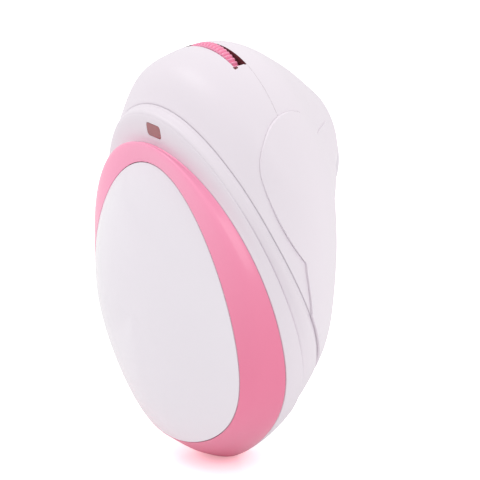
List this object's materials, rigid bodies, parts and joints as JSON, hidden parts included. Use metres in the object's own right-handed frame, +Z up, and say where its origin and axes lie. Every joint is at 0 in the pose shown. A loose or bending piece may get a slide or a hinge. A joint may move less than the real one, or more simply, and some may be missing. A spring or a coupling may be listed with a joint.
{
  "type": "fetal doppler monitor",
  "caption": "Egg-shaped handheld fetal heart-beat monitor standing on its tail, with domed plate, coloured ring, volume thumbwheel, earphone sockets and a rear ultrasound probe.",
  "frame": {"origin": "centre of the small flat under the tail of the ring, where the monitor stands", "axes": "+Z up the long axis, -Y towards the domed front plate, +Y towards the probe, +X to the right when facing the plate from the front as pictured"},
  "size_m": [0.07, 0.0551, 0.1102],
  "materials": {
    "white_gloss": "gloss",
    "white_satin": "satin",
    "pink_gloss": "gloss",
    "pink_knurled": "satin",
    "window_tint": "tinted, slightly clear",
    "led_red": "clear tinted",
    "black_moulding": "matte",
    "grey_moulding": "matte",
    "board_green": "solder mask",
    "plated_steel": "plated",
    "battery_jacket": "printed jacket without lettering",
    "lead_sleeve": "satin",
    "epoxy_brown": "matte",
    "ceramic_tan": "silvered ceramic",
    "lens_grey": "smooth"
  },
  "bodies": {
    "monitor": {"front_plate": "white_gloss", "pink_ring": "pink_gloss", "front_shell": "white_satin", "mid_frame": "white_satin", "mid_shell": "white_satin", "head_shell": "white_satin", "rear_shell": "white_satin", "led_window": "window_tint", "led": "led_red", "volume_pot": "black_moulding", "main_board": "board_green", "signal_chip": "black_moulding", "amplifier_chip": "black_moulding", "crystal_can": "plated_steel", "capacitors": "black_moulding", "jack_upper": "black_moulding", "jack_lower": "black_moulding", "battery": "battery_jacket", "battery_snap": "black_moulding", "battery_leads": "lead_sleeve", "battery_bay": "grey_moulding", "transducer_cup": "white_satin", "backing_block": "epoxy_brown", "crystal_send": "ceramic_tan", "crystal_receive": "ceramic_tan", "acoustic_lens": "lens_grey", "transducer_lead": "lead_sleeve", "board_screws": "plated_steel"},
    "volume_wheel": {"thumbwheel": "pink_knurled"},
    "door": {"battery_door": "white_satin"}
  },
  "joints": [
    {"name": "volume_turn", "type": "hinge", "parent": "monitor", "child": "volume_wheel", "pos_m": [0, -0.00299, 0.09724], "axis": [0, 1, 0], "range_deg": [-135, 135]},
    {"name": "door_pull", "type": "slide", "parent": "monitor", "child": "door", "axis": [0, 1, 0], "range_m": [0, 0.045]}
  ]
}
